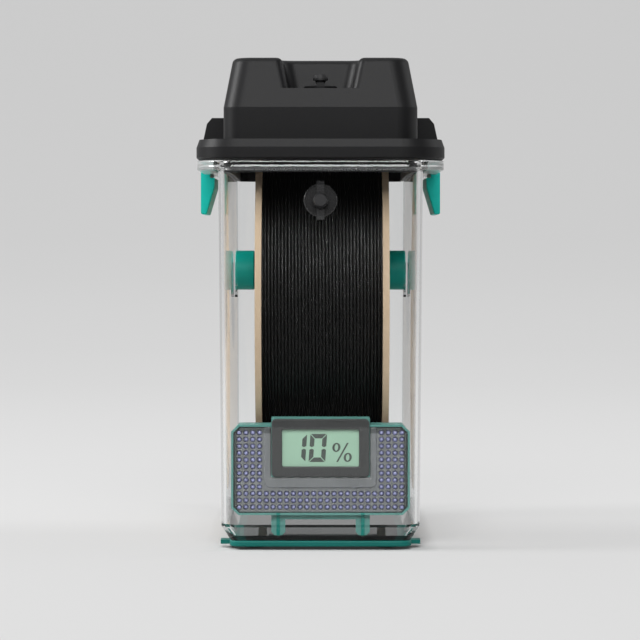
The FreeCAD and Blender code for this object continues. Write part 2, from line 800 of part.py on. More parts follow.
def build_cartridge():
    frame = new_body("cartridge_frame")
    walls = polygon(body_sketch(frame, "XZ_Plane", "cartridge_y"), cartridge_outline())
    polygon(walls, chamber_outline("0"))
    rectangle(walls, "-bay_half", "bay_half", "hygro_z - bay_rise", "hygro_z + bay_rise")
    pad(frame, walls, "cartridge_depth", backward=True)
    # Two legs joined by a bridge, each with a rib across it, stand on the container's floor.
    leg_in = "leg_spacing / 2 - leg_width / 2"
    leg_out = "leg_spacing / 2 + leg_width / 2"
    legs = body_sketch(frame, "XZ_Plane", "cartridge_y - leg_setback")
    right = [
        (leg_in, "cartridge_z - bridge_height"),
        (leg_in, "floor_z + leg_chamfer"),
        (f"{leg_in} + leg_chamfer", "floor_z"),
        (f"{leg_out} - leg_chamfer", "floor_z"),
        (leg_out, "floor_z + leg_chamfer"),
        (leg_out, "cartridge_z + frame_wall / 2"),
    ]
    polygon(legs, right + [(f"-({x})", y) for x, y in reversed(right)])
    pad(frame, legs, "leg_thickness", backward=True)
    ribs = body_sketch(frame, "XZ_Plane", "cartridge_y - leg_setback + rib_rise")
    rib_in = "leg_spacing / 2 - rib_width / 2"
    rib_out = "leg_spacing / 2 + rib_width / 2"
    rib_top = "cartridge_z + frame_wall / 2"
    both_sides(ribs, [(rib_in, "floor_z"), (rib_out, "floor_z"), (rib_out, rib_top), (rib_in, rib_top)])
    pad(frame, ribs, "rib_depth", backward=True)
    cover = new_body("cartridge_cover")
    outline = cartridge_outline()
    plain = [corner for corner in outline if "bump" not in corner[0] + corner[1]]
    sheet_face = "cartridge_y - cartridge_depth"
    pad(cover, polygon(body_sketch(cover, "XZ_Plane", sheet_face), plain), "cover_thickness", backward=True)
    first_slot = "-slot_pitch * (slots - 1) / 2"
    slot_low = "cartridge_z + cartridge_height / 2 - slot_height / 2"
    slot = body_sketch(cover, "XZ_Plane", sheet_face)
    slot_left = f"{first_slot} - slot_width / 2"
    slot_right = f"{first_slot} + slot_width / 2"
    rectangle(slot, slot_left, slot_right, slot_low, f"{slot_low} + slot_height")
    opening = pocket(cover, slot, "cover_thickness")
    row = cover.newObject("PartDesign::LinearPattern", "LinearPattern")
    row.Originals = [opening]
    row.Direction = (slot, ["H_Axis"])
    bind(row, Length="slot_pitch * (slots - 1)", Occurrences="slots")
    cover.Tip = row
    fill = new_body("desiccant_fill")
    fill_face = "cartridge_y - grille_setback - grille_thickness - fit_gap"
    fill_depth = "cartridge_depth - grille_setback - grille_thickness - 2 * fit_gap"
    beads = polygon(body_sketch(fill, "XZ_Plane", fill_face), chamber_outline("running_gap"))
    pad(fill, beads, fill_depth, backward=True)


def build_grille():
    # Round holes on a square grid, left out under the ledge around the hygrometer.
    face_y = -value("cartridge_y - grille_setback")

    def plate_wire(points, y):
        corners = [Vector(value(x), y, value(z)) for x, z in points]
        return Part.makePolygon(corners + corners[:1])

    radius = value("grille_hole_radius")
    pitch = value("grille_pitch")
    border = value("grille_border")
    side_limit = value("cartridge_width / 2 - frame_wall") - border
    low = value("cartridge_z + frame_wall") + border
    high = value("cartridge_top_z - frame_wall") - border
    ledge_half = value("bump_half + ledge_width")
    ledge_low = value("hygro_z - bump_rise - ledge_drop")
    columns = int(side_limit // pitch)
    rows = int((high - low) // pitch) + 1
    low += (high - low - (rows - 1) * pitch) / 2
    wires = [plate_wire(chamber_outline("fit_gap"), face_y)]
    for column in range(-columns, columns + 1):
        for row in range(rows):
            x, z = column * pitch, low + row * pitch
            if abs(x) > ledge_half + radius or z < ledge_low - radius:
                wires.append(Part.Wire(Part.makeCircle(radius, Vector(x, face_y, z), Vector(0, 1, 0))))
    thickness = Vector(0, value("grille_thickness"), 0)
    plate, *holes = [Part.Face(wire).extrude(thickness) for wire in wires]
    border = [edge for edge in plate.Edges if edge.BoundBox.YMax < face_y + 0.01]
    plate = plate.makeChamfer(value("grille_chamfer"), border)
    solid = plate.cut(Part.makeCompound(holes))
    gap = "fit_gap"
    right = [
        ("bump_half + ledge_width", "hygro_z - bump_rise - ledge_drop"),
        ("bump_half + ledge_width", f"cartridge_top_z - frame_wall - {gap}"),
        (f"bump_half + {gap}", f"cartridge_top_z - frame_wall - {gap}"),
        (f"bump_half + {gap}", f"hygro_z - bump_rise - {gap}"),
    ]
    band = right + [(f"-({x})", z) for x, z in reversed(right)]
    ledge = Part.Face(plate_wire(band, face_y)).extrude(Vector(0, -value("ledge_height"), 0))
    corners = [edge for edge in ledge.Edges
               if edge.BoundBox.ZMax < ledge_low + 0.01 and edge.BoundBox.XLength < 0.01]
    ledge = ledge.makeFillet(value("ledge_corner"), corners)
    front_y = face_y - value("ledge_height")
    outline = [edge for edge in ledge.Edges if edge.BoundBox.YMax < front_y + 0.01]
    ledge = ledge.makeFillet(value("ledge_round"), outline)
    grille = doc.addObject("Part::Feature", "cartridge_grille")
    grille.Shape = solid.fuse(ledge).removeSplitter()
    nodes.append(grille)


def build_hygrometer():
    bezel = new_body("hygrometer_bezel")
    front = body_sketch(bezel, "XZ_Plane", "cartridge_y")
    rounded_rectangle(front, "bezel_width", "bezel_height", "bezel_corner", "hygro_z")
    rounded_rectangle(front, "bezel_width - 2 * bezel_side_border", "bezel_height - 2 * bezel_end_border",
                      "window_corner", "hygro_z")
    pad(bezel, front, "bezel_thickness")
    front_y = -value("cartridge_y + bezel_thickness")
    body_fillet(bezel, "bezel_round", lambda edge: edge.BoundBox.YMax < front_y + 0.01)
    case = new_body("hygrometer_case")
    block = body_sketch(case, "XZ_Plane", "cartridge_y")
    rounded_rectangle(block, "case_width", "case_height", "bezel_corner", "hygro_z")
    pad(case, block, "case_depth", backward=True)
    hollow = body_sketch(case, "XZ_Plane", "cartridge_y")
    inner = "2 * case_wall"
    rectangle(hollow, f"-(case_width - {inner}) / 2", f"(case_width - {inner}) / 2",
              f"hygro_z - (case_height - {inner}) / 2", f"hygro_z + (case_height - {inner}) / 2")
    pocket(case, hollow, "case_depth - case_wall")
    width = "case_width - 2 * case_wall - 2 * fit_gap"
    height = "case_height - 2 * case_wall - 2 * fit_gap"
    for label, thickness, setback in (
        ("lcd_panel", "lcd_thickness", "fit_gap"),
        ("hygrometer_board", "board_thickness", "board_setback"),
    ):
        panel = box(label, width, thickness, height, f"-({width}) / 2", f"-cartridge_y + {setback}",
                    f"hygro_z - ({height}) / 2")
        nodes.append(panel)
    cells = []
    for sign in ("-", ""):
        cell = cylinder("coin_cell", "cell_radius", "cell_thickness")
        cell.Placement.Rotation = FreeCAD.Rotation(Vector(1, 0, 0), -90)
        bind(cell, Placement__Base__x=f"{sign}cell_spacing / 2", Placement__Base__z="hygro_z",
             Placement__Base__y="-cartridge_y + board_setback + board_thickness + fit_gap")
        cells.append(cell)
    group("coin_cells", cells)


def build_outlet(label, wall_thickness, turn, y, z):
    # Drawn with its seat at height zero, its axis up and its inner end below.
    below = f"{wall_thickness} + nut_thickness + thread_end"
    collar = new_body(f"{label}_outlet_collar")
    polygon(profile := body_sketch(collar, "XZ_Plane"), [
        ("0", f"-({below})"),
        ("thread_radius", f"-({below})"),
        ("thread_radius", "washer_thickness"),
        ("collar_radius", "washer_thickness"),
        ("collar_radius", "collar_face + collar_lip_height - collar_chamfer"),
        ("collar_radius - collar_chamfer", "collar_face + collar_lip_height"),
        ("collar_radius - collar_lip_width", "collar_face + collar_lip_height"),
        ("collar_radius - collar_lip_width", "collar_face"),
        ("0", "collar_face"),
    ])
    revolve(collar, profile, "V_Axis")
    grip_top = "collar_face + grip_rise"
    grip = body_sketch(collar, "YZ_Plane")
    polygon(grip, [
        ("-grip_length / 2", "washer_thickness"),
        ("grip_length / 2", "washer_thickness"),
        ("grip_length / 2", "collar_face"),
        ("grip_length / 2 - grip_rise", grip_top),
        ("-(grip_length / 2 - grip_rise)", grip_top),
        ("-grip_length / 2", "collar_face"),
    ])
    pad(collar, grip, "grip_width", symmetric=True)
    bore = circle(body_sketch(collar, "XY_Plane", grip_top), "outlet_bore_radius")
    pocket(collar, bore, f"{grip_top} + {below}")
    washer = new_body(f"{label}_outlet_washer")
    ring = circle(circle(body_sketch(washer, "XY_Plane"), "washer_radius"), "thread_radius + fit_gap")
    pad(washer, ring, "washer_thickness")
    nut = new_body(f"{label}_outlet_nut")
    corner, flat = "nut_width / sqrt(3)", "nut_width / 2"
    hexagon = polygon(body_sketch(nut, "XY_Plane", f"-({wall_thickness})"), [
        (corner, "0"), (f"{corner} / 2", flat), (f"-{corner} / 2", flat),
        (f"-{corner}", "0"), (f"-{corner} / 2", f"-{flat}"), (f"{corner} / 2", f"-{flat}"),
    ])
    pad(nut, circle(hexagon, "thread_radius + fit_gap / 2"), "nut_thickness", backward=True)
    plug = new_body(f"{label}_plug")
    tip = "collar_face - plug_stem_length"
    cone_top = "collar_face + plug_cone_height"
    head_top = f"{cone_top} + plug_head_height"
    polygon(profile := body_sketch(plug, "XZ_Plane"), [
        ("0", tip),
        ("plug_tip_radius", tip),
        ("plug_stem_radius", f"{tip} + plug_tip_length"),
        ("plug_stem_radius", "collar_face - running_gap"),
        ("plug_neck_radius", "collar_face + running_gap"),
        ("plug_cone_radius", cone_top),
        ("plug_head_radius", cone_top),
        ("plug_head_radius", head_top),
        ("plug_crown_radius", f"{head_top} + plug_crown_height"),
        ("0", f"{head_top} + plug_crown_height"),
    ])
    revolve(plug, profile, "V_Axis")
    for piece in (collar, washer, nut, plug):
        piece.Placement.Rotation = FreeCAD.Rotation(Vector(1, 0, 0), turn)
        bind(piece, Placement__Base__y=y, Placement__Base__z=z)


def recess(name, low, margin):
    # The recess in the lid's front top, wider towards the top, or the block its walls are cut from.
    back = "recess_front - pocket_length"
    front = "dome_depth / 2 + pocket_overrun"
    sections = []
    for z, spread in (
        (low, margin),
        ("lid_top_z + lid_wall", f"{margin} + pocket_flare * (pocket_drop + lid_wall)"),
    ):
        length = f"({front}) - ({back}) + {spread}"
        centre = f"-({front}) + ({length}) / 2"
        section = level_sketch(z)
        rounded_rectangle(section, f"pocket_width + 2 * ({spread})", length,
                          f"pocket_corner + {margin}", centre)
        sections.append(section)
    return loft(name, sections)


def dome(name, low, inset, top):
    sections = []
    levels = ((low, "0", "0"), ("break_z", "0", "0"), (top, "dome_side_inset", "dome_slope_inset"))
    for z, side, end in levels:
        section = level_sketch(z)
        rounded_rectangle(section, f"dome_width - 2 * ({inset} + {side})",
                          f"dome_depth - 2 * ({inset} + {end})", f"dome_corner - {inset}")
        sections.append(section)
    return loft(name, sections)


def build_lid():
    bevel_z = "flange_top_z - flange_bevel_height"
    sections = []
    for z, inset in (("lid_z", "flange_chamfer"), ("lid_z + flange_chamfer", "0"), (bevel_z, "0"),
                     ("flange_top_z", "flange_bevel_inset")):
        section = level_sketch(z)
        rounded_rectangle(section, f"flange_width - 2 * {inset}", f"flange_depth - 2 * {inset}",
                          f"flange_corner - {inset}")
        sections.append(section)
    flange = loft("lid_flange", sections)
    skirt = level_sketch("lid_z - skirt_depth")
    rounded_rectangle(skirt, "skirt_width", "skirt_depth_out", "skirt_corner")
    skirt = extrude("lid_skirt", skirt, "skirt_depth + flange_height / 2")
    crown = cut("lid_crown", dome("lid_dome", "lid_z + flange_height / 2", "0", "lid_top_z"),
                recess("lid_recess", "pocket_z", "0"))
    doc.recompute()
    rounded = doc.addObject("Part::Fillet", "lid_rounded")
    rounded.Base = crown
    top = value("lid_top_z")
    front = -value("dome_depth / 2")

    def softened(edge):
        bounds = edge.BoundBox
        if bounds.ZMin > top - 0.01:
            return value("dome_round")
        side_of_recess = (bounds.ZMin > value("pocket_z") - 0.01 and bounds.ZLength > 1
                          and bounds.YMax < front + value("dome_slope_inset") + 0.01
                          and abs(bounds.Center.x) < value("pocket_width"))
        return value("pocket_round") if side_of_recess else 0

    radii = [softened(edge) for edge in crown.Shape.Edges]
    rounded.Edges = [(i, radius, radius) for i, radius in enumerate(radii, start=1) if radius]
    cheek_edge = "flange_width / 2"
    shoulder = f"{cheek_edge} - cheek_lean"
    cheek_top = "flange_top_z + cheek_rise"
    cheeks = both_sides(upright_sketch(), [
        ("dome_width / 2 - lid_wall / 2", bevel_z),
        (cheek_edge, bevel_z),
        (cheek_edge, "flange_top_z"),
        (shoulder, f"{cheek_top} - cheek_shoulder"),
        (f"{shoulder} - cheek_shoulder_inset", cheek_top),
        ("dome_width / 2 - lid_wall / 2", cheek_top),
    ])
    cheeks = extrude("lid_cheeks", cheeks, "cheek_span", symmetric=True)
    outside = fuse("lid_outside", [flange, skirt, rounded, cheeks])
    # Everything hollow: the inside, the gasket groove, the recess's tray, the latch slots, the pin holes
    # and the outlet bore.
    hollow = dome("lid_hollow", "flange_top_z - lid_wall", "lid_wall", "lid_top_z - lid_wall")
    inside = cut("lid_inside", hollow, recess("lid_recess_block", "tray_z - lid_wall", "lid_wall"))
    throat = level_sketch("lid_z - skirt_depth")
    rounded_rectangle(throat, "skirt_width - 2 * skirt_thickness", "skirt_depth_out - 2 * skirt_thickness",
                      "skirt_corner - skirt_thickness")
    throat = extrude("lid_throat", throat, "skirt_depth + flange_height")
    groove = level_sketch("lid_z")
    gasket_ring(groove, "groove_offset", "groove_offset + groove_width")
    groove = extrude("lid_groove", groove, "groove_depth")
    reach = "dome_inset + arm_thickness"
    tray = level_sketch("tray_z")
    tray_length = "pocket_length - lip_width - tray_inset"
    rounded_rectangle(tray, "pocket_width - 2 * tray_inset", tray_length, "pocket_corner - tray_inset",
                      f"-(recess_front - lip_width) + ({tray_length}) / 2")
    tray = extrude("lid_tray", tray, "2 * tray_depth")
    pieces = [inside, throat, groove, tray]
    for name, edge, low, high in (
        ("latch_notch", "catch_x + notch_gap", "lid_z - lid_gap", "flange_top_z"),
        ("latch_slot", "dome_width / 2", "flange_top_z", "lid_top_z"),
    ):
        slot = upright_sketch()
        both_sides(slot, [(edge, low), (f"{edge} + {reach}", low), (f"{edge} + {reach}", high), (edge, high)])
        pieces.append(extrude(name, slot, "2 * slot_half", symmetric=True))
    for sign in ("", "-"):
        pieces.append(pin_rod("pin_hole", "pin_radius + fit_gap / 4", sign))
    bore = cylinder("top_outlet_hole", "thread_radius + fit_gap", "2 * lid_wall")
    bind(bore, Placement__Base__y="-top_outlet_y", Placement__Base__z="tray_z - 3 * lid_wall / 2")
    pieces.append(bore)
    nodes.append(cut("lid_shell", outside, fuse("lid_hollows", pieces)))
    gasket = new_body("lid_gasket")
    strip = body_sketch(gasket, "XY_Plane", "rim_top_z")
    gasket_ring(strip, "groove_offset + fit_gap", "groove_offset + groove_width - fit_gap")
    pad(gasket, strip, "lid_gap + groove_depth")


def gasket_ring(sketch, inner, outer):
    for offset in (inner, outer):
        rounded_rectangle(sketch, f"body_width + 2 * ({offset})", f"body_depth + 2 * ({offset})",
                          f"body_corner + {offset}")


def pin_rod(name, radius, sign):
    # Pushed in from the rear cheek, a pin stops short of the front cheek's face.
    rod = cylinder(name, radius, "pin_length")
    rod.Placement.Rotation = FreeCAD.Rotation(Vector(1, 0, 0), 90)
    bind(rod, Placement__Base__x=f"{sign}pivot_x", Placement__Base__y="cheek_span / 2",
         Placement__Base__z="pivot_z")
    return rod


def build_latches():
    latch = new_body("latch_right")
    arm = polygon(body_sketch(latch, "XZ_Plane"), [
        ("pivot_x", "pivot_z"),
        ("arm_x", "pivot_z - barrel_radius"),
        ("arm_x", "hook_z"),
        ("hook_x", "hook_z"),
        ("hook_x", "hook_z - hook_height"),
        ("latch_x - finger_thickness", "latch_z"),
        ("latch_x", "latch_z"),
        ("latch_x", "rim_under_z"),
        ("pivot_x + barrel_radius", "pivot_z"),
    ])
    pad(latch, arm, "latch_width", symmetric=True)
    barrel = circle(body_sketch(latch, "XZ_Plane"), "barrel_radius", "pivot_x", "pivot_z")
    pad(latch, barrel, "latch_width", symmetric=True)
    bore = circle(body_sketch(latch, "XZ_Plane"), "pin_radius + running_gap", "pivot_x", "pivot_z")
    pocket(latch, bore, "latch_width", symmetric=True)
    low_edge = value("hook_z") - 0.01
    body_fillet(latch, "latch_round", lambda edge: edge.BoundBox.ZMax < low_edge)
    mirror_node("latch_left", latch)
    for side, sign in (("right", ""), ("left", "-")):
        nodes.append(pin_rod(f"latch_pin_{side}", "pin_radius", sign))


build_container()
build_base()
build_axle()
build_spool()
build_outer_layer()
build_cartridge()
build_grille()
build_hygrometer()
build_outlet("front", "outlet_pad_thickness", 90, "-outlet_pad_y", "outlet_z")
build_outlet("top", "lid_wall", 0, "-top_outlet_y", "tray_z")
build_lid()
build_latches()
doc.recompute()

for thing in doc.Objects:
    if "Invalid" in thing.State or "Error" in thing.State:
        raise RuntimeError(f"{thing.Label} did not build")
os.makedirs("parts", exist_ok=True)
for node in nodes:
    if node.Shape.isNull() or not node.Shape.isValid():
        raise RuntimeError(f"{node.Label} has no sound shape")
    node.Shape.exportStep(f"parts/{node.Label}.step")
    print(node.Label, len(node.Shape.Solids), round(node.Shape.Volume, 1))
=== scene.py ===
import bpy
import bmesh
import math
import random
from mathutils import Matrix, Vector


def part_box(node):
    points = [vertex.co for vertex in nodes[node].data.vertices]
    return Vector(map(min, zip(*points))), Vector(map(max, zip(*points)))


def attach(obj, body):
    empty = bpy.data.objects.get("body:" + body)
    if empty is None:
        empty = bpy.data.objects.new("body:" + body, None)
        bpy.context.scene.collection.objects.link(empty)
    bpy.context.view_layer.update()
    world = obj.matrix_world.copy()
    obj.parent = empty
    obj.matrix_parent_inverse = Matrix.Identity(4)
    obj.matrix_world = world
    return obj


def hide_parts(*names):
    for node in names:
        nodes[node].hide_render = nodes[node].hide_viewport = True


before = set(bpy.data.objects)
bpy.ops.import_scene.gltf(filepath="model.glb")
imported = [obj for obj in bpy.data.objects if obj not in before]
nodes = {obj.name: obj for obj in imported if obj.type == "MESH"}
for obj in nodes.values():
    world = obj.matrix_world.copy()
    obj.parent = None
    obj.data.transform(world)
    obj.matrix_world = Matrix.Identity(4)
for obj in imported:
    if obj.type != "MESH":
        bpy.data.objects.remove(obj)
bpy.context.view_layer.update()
scene = bpy.context.scene
scene.view_settings.view_transform = "Standard"
print("frame loaded")


# shader sums: a socket that can be added, scaled and compared
class Wire:
    def __init__(self, paint, socket):
        self.paint = paint
        self.socket = socket

    def calc(self, operation, left, right=0.0):
        return self.paint.add("ShaderNodeMath", {"operation": operation}, {0: left, 1: right})

    def __add__(self, other):
        return self.calc("ADD", self, other)

    def __sub__(self, other):
        return self.calc("SUBTRACT", self, other)

    def __rsub__(self, other):
        return self.calc("SUBTRACT", other, self)

    def __mul__(self, other):
        return self.calc("MULTIPLY", self, other)

    def __truediv__(self, other):
        return self.calc("DIVIDE", self, other)

    def __rtruediv__(self, other):
        return self.calc("DIVIDE", other, self)

    def __gt__(self, other):
        return self.calc("GREATER_THAN", self, other)

    def __lt__(self, other):
        return self.calc("LESS_THAN", self, other)

    def __abs__(self):
        return self.calc("ABSOLUTE", self)

    def sine(self):
        return self.calc("SINE", self)

    def most(self, other):
        return self.calc("MAXIMUM", self, other)

    def least(self, other):
        return self.calc("MINIMUM", self, other)

    def clamp(self):
        return self.most(0.0).least(1.0)

    def span(self, low, high):  # 0 to 1 spread over a range
        return self * (high - low) + low

    __radd__ = __add__
    __rmul__ = __mul__


# one material and its nodes
class Paint:
    def __init__(self, name, world=None):
        self.owner = world or bpy.data.materials.new(name)
        self.owner.use_nodes = True
        self.tree = self.owner.node_tree
        self.tree.nodes.clear()
        self.out = self.tree.nodes.new("ShaderNodeOutputWorld" if world else "ShaderNodeOutputMaterial")

    def add(self, kind, settings=None, sockets=None, out=0):
        node = self.tree.nodes.new(kind)
        for key, setting in (settings or {}).items():
            if key == "stops":
                ramp = node.color_ramp
                while len(ramp.elements) < len(setting):
                    ramp.elements.new(0.5)
                for stop, (place, colour) in zip(ramp.elements, setting):
                    stop.position = place
                    stop.color = (*colour, 1)
            else:
                setattr(node, key, setting)
        for key, value in (sockets or {}).items():
            if isinstance(value, Wire):
                self.tree.links.new(value.socket, node.inputs[key])
            else:
                node.inputs[key].default_value = value
        return Wire(self, node.outputs[out])

    def place(self):
        return self.add("ShaderNodeTexCoord", out="Object")

    def axis(self, letter):
        return self.add("ShaderNodeSeparateXYZ", None, {0: self.place()}, out=letter)

    def ray(self, kind):
        return self.add("ShaderNodeLightPath", out=kind)

    def noise(self, scale, detail=3.0, rough=0.55, stretch=(1, 1, 1)):
        spot = self.add("ShaderNodeMapping", None, {"Vector": self.place(), "Scale": stretch})
        return self.add("ShaderNodeTexNoise", None,
                        {"Vector": spot, "Scale": scale, "Detail": detail, "Roughness": rough})

    def cells(self, scale, feature="F1"):
        return self.add("ShaderNodeTexVoronoi", {"feature": feature},
                        {"Vector": self.place(), "Scale": scale})

    def blend(self, amount, first, second):  # colours
        return self.add("ShaderNodeMix", {"data_type": "RGBA"}, {0: amount, 6: first, 7: second}, out=2)

    def join(self, amount, first, second):  # shaders
        return self.add("ShaderNodeMixShader", None, {0: amount, 1: first, 2: second})

    def ramp(self, amount, stops):
        return self.add("ShaderNodeValToRGB", {"stops": stops}, {0: amount})

    def bump(self, height, distance, strength=1.0):
        return self.add("ShaderNodeBump", None,
                        {"Height": height, "Distance": distance, "Strength": strength})

    def seeThrough(self, colour=(1, 1, 1, 1)):
        return self.add("ShaderNodeBsdfTransparent", None, {"Color": colour})

    def skin(self, **sockets):
        names = {key.replace("_", " "): value for key, value in sockets.items()}
        return self.add("ShaderNodeBsdfPrincipled", None, names)

    def finish(self, shader):
        self.tree.links.new(shader.socket, self.out.inputs["Surface"])
        return self.owner


def rgb(red, green, blue):
    # 0-255 as seen on a screen, turned into linear light
    def linear(level):
        level /= 255
        return level / 12.92 if level <= 0.04045 else ((level + 0.055) / 1.055) ** 2.4
    return (linear(red), linear(green), linear(blue), 1)


def grey(level):
    return rgb(level, level, level)


def shades(tone, low, high):
    # a deeper and a paler shade of one tone
    return [rgb(*[min(255, level * factor) for level in tone]) for factor in (low, high)]


def dress(material, *names):
    for name in names:
        data = nodes[name].data
        data.materials.clear()
        data.materials.append(material)


def addMesh(name, points, faces):
    mesh = bpy.data.meshes.new(name)
    mesh.from_pydata(points, [], faces)
    mesh.update()
    for face in mesh.polygons:
        face.use_smooth = len(face.vertices) <= 4  # end caps have more corners and stay flat
    return mesh


def addPiece(name, mesh, material):
    mesh.materials.append(material)
    piece = bpy.data.objects.new(name, mesh)
    scene.collection.objects.link(piece)
    return piece


# camera and studio
view = {"place": (-0.00025, -1.481, 0.1505), "tilt": 1.56, "lens": 157.9, "sensor": 36, "far": 50}
cameraData = bpy.data.cameras.new("studioCamera")
cameraData.lens = view["lens"]
cameraData.sensor_width = view["sensor"]
cameraData.clip_end = view["far"]
camera = bpy.data.objects.new("studioCamera", cameraData)
camera.location = view["place"]
camera.rotation_euler = (math.radians(90 - view["tilt"]), 0, 0)
scene.collection.objects.link(camera)
scene.camera = camera

lamps = [
    {"name": "keyLeft", "place": (-1.85, -0.15, 1.05), "aim": (0, 0, 0.14), "size": (0.5, 0.7), "watts": 50},
    {"name": "frontSoft", "place": (-0.1, -1.9, 1.4), "aim": (0, 0, 0.14), "size": (1.6, 1.3), "watts": 58},
    {"name": "topSoft", "place": (0, 0.3, 1.9), "aim": (0, 0, 0.1), "size": (1.8, 1.8), "watts": 14},
    {"name": "fillRight", "place": (1.8, 0.3, 0.9), "aim": (0, 0, 0.14), "size": (1.2, 1.0), "watts": 11},
]
for lamp in lamps:
    data = bpy.data.lights.new(lamp["name"], "AREA")
    data.shape = "RECTANGLE"
    data.size, data.size_y = lamp["size"]
    data.energy = lamp["watts"]
    light = bpy.data.objects.new(lamp["name"], data)
    light.location = lamp["place"]
    heading = Vector(lamp["aim"]) - Vector(lamp["place"])
    light.rotation_euler = heading.to_track_quat("-Z", "Y").to_euler()
    scene.collection.objects.link(light)


def buildWorld():
    # a dim room, shown pale to the camera and through the clear walls
    room = {"pale": 0.62, "dim": 0.03, "front": -0.9, "faces": 2.5}
    world = bpy.data.worlds.new("studioWorld")
    paint = Paint("studioWorld", world)
    heading = paint.add("ShaderNodeTexCoord", out="Generated")
    ahead = paint.add("ShaderNodeSeparateXYZ", None, {0: heading}, out="Y") > room["front"]
    bothWalls = paint.ray("Transmission Depth") > room["faces"]
    through = paint.ray("Is Transmission Ray") * ahead.most(bothWalls)
    seen = paint.ray("Is Camera Ray").most(through)
    level = seen.span(room["dim"], room["pale"])
    paint.finish(paint.add("ShaderNodeBackground", None, {"Color": (1, 1, 1, 1), "Strength": level}))
    scene.world = world


buildWorld()


def backdropPaper(edge):
    # palest on the far floor; around the object's foot the paper shows its own light and shade
    tone = {"reach": 0.4, "paper": 185, "near": 219, "nearFrom": 0.05, "nearOver": 0.08,
            "stops": [(0.0, 229), (0.0625, 225.5), (0.2, 222), (0.27, 219.5),
                      (0.4, 217), (0.6, 216), (1.0, 214.5)],
            "foot": (0.047, 0.102),
            "glow": [(0.0, 0.04), (0.004, 0.12), (0.012, 0.55), (0.05, 0.72), (0.4, 0.78)]}
    paint = Paint("backdropPaper")
    up = paint.axis("Z") / tone["reach"]
    colour = paint.ramp(up, [(place, grey(level)[:3]) for place, level in tone["stops"]])
    # the floor from the object's middle towards the camera is painted darker: painted shade
    near = ((tone["nearFrom"] - paint.axis("Y")) / tone["nearOver"]).clamp()
    colour = paint.blend(near, colour, grey(tone["near"]))
    plain = paint.add("ShaderNodeBsdfDiffuse", None, {"Color": grey(tone["paper"])})
    glow = paint.add("ShaderNodeEmission", None, {"Color": colour, "Strength": 1.0})
    direct = paint.ray("Is Camera Ray")
    seen = direct.most(paint.ray("Is Transmission Ray")).most(paint.ray("Is Glossy Ray"))
    away = (abs(paint.axis("X")) - tone["foot"][0]).most(abs(paint.axis("Y")) - tone["foot"][1])
    share = paint.ramp(away, [(place, (level, level, level)) for place, level in tone["glow"]])
    shown = paint.join(seen * share, plain, glow)
    # in front of the edge only the camera sees the floor, so the clear wall doesn't mirror it
    beyond = (paint.axis("Y") < edge) * (1 - direct)
    return paint.finish(paint.join(beyond, shown, paint.seeThrough()))


def buildBackdrop():
    # floor that sweeps up into a back wall
    sweep = {"front": -8.0, "edge": -0.85, "bend": 1.6, "radius": 1.2, "height": 4.0, "half": 5.0,
             "steps": 24, "drop": 0.0001}
    profile = [(sweep["front"], 0.0), (sweep["bend"], 0.0)]
    for step in range(1, sweep["steps"] + 1):
        turn = math.pi / 2 * step / sweep["steps"]
        profile.append((sweep["bend"] + sweep["radius"] * math.sin(turn),
                        sweep["radius"] * (1 - math.cos(turn))))
    profile.append((profile[-1][0], sweep["height"]))
    points = [(side * sweep["half"], y, z - sweep["drop"]) for y, z in profile for side in (-1, 1)]
    faces = [(2 * i, 2 * i + 1, 2 * i + 3, 2 * i + 2) for i in range(len(profile) - 1)]
    backdrop = addPiece("backdrop", addMesh("backdrop", points, faces), backdropPaper(sweep["edge"]))


buildBackdrop()
print("camera and studio ready")


# clear container, with moulded lines around its rim
def clearPlastic():
    look = {"ior": 1.3, "tint": (0.99, 0.995, 0.995, 1), "rough": (0.004, 0.01), "bounces": 3.5,
            "edge": (0.75, 0.75, 0.75, 1), "shadow": (0.96, 0.965, 0.965, 1)}
    rim = {"ior": 1.6, "lines": (0.0, 0.0023), "width": 0.0009, "depth": 0.00026, "rough": (0.03, 0.05)}
    paleLight = {"tone": (216, 218, 218), "through": 0.5, "rough": (0.3, 0.4), "side": 0.052, "drop": 0.0049,
            "share": 0.55, "fillet": (0.0033, 0.0049), "filletShare": 0.16}
    paint = Paint("clearPlastic")
    haze = paint.noise(scale=40, detail=2.0)
    glass = paint.skin(Base_Color=look["tint"], Roughness=haze.span(*look["rough"]), IOR=look["ior"],
                       Transmission_Weight=1.0)
    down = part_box("container")[1].z - paint.axis("Z")
    steps = [((down - line) / rim["width"]).clamp() for line in rim["lines"]]
    lines = [(down > line) * (down < line + rim["width"]) for line in rim["lines"]]
    bright = paint.skin(Base_Color=look["tint"], Roughness=haze.span(*rim["rough"]), IOR=rim["ior"],
                        Transmission_Weight=1.0, Normal=paint.bump(steps[0] + steps[1], rim["depth"]))
    glass = paint.join(lines[0] + lines[1], glass, bright)
    # the long flange ends and the fillet under the rim are painted a pale, half-clear white: a painted
    # stand-in for the light that the thick plastic gathers there
    paleLightGlass = paint.skin(Base_Color=rgb(*paleLight["tone"]), Roughness=haze.span(*paleLight["rough"]),
                       IOR=look["ior"], Transmission_Weight=paleLight["through"])
    ends = (abs(paint.axis("X")) > paleLight["side"]) * (down < paleLight["drop"]) * paleLight["share"]
    fillet = (down > paleLight["fillet"][0]) * (down < paleLight["fillet"][1]) * paleLight["filletShare"]
    glass = paint.join(ends.most(fillet), glass, paleLightGlass)
    # light caught between the faces of an edge is let out again
    caught = paint.ray("Ray Depth") > look["bounces"]
    glass = paint.join(caught, glass, paint.seeThrough(look["edge"]))
    shade = paint.ray("Is Shadow Ray").most(paint.ray("Is Diffuse Ray"))
    return paint.finish(paint.join(shade, glass, paint.seeThrough(look["shadow"])))


dress(clearPlastic(), "container")


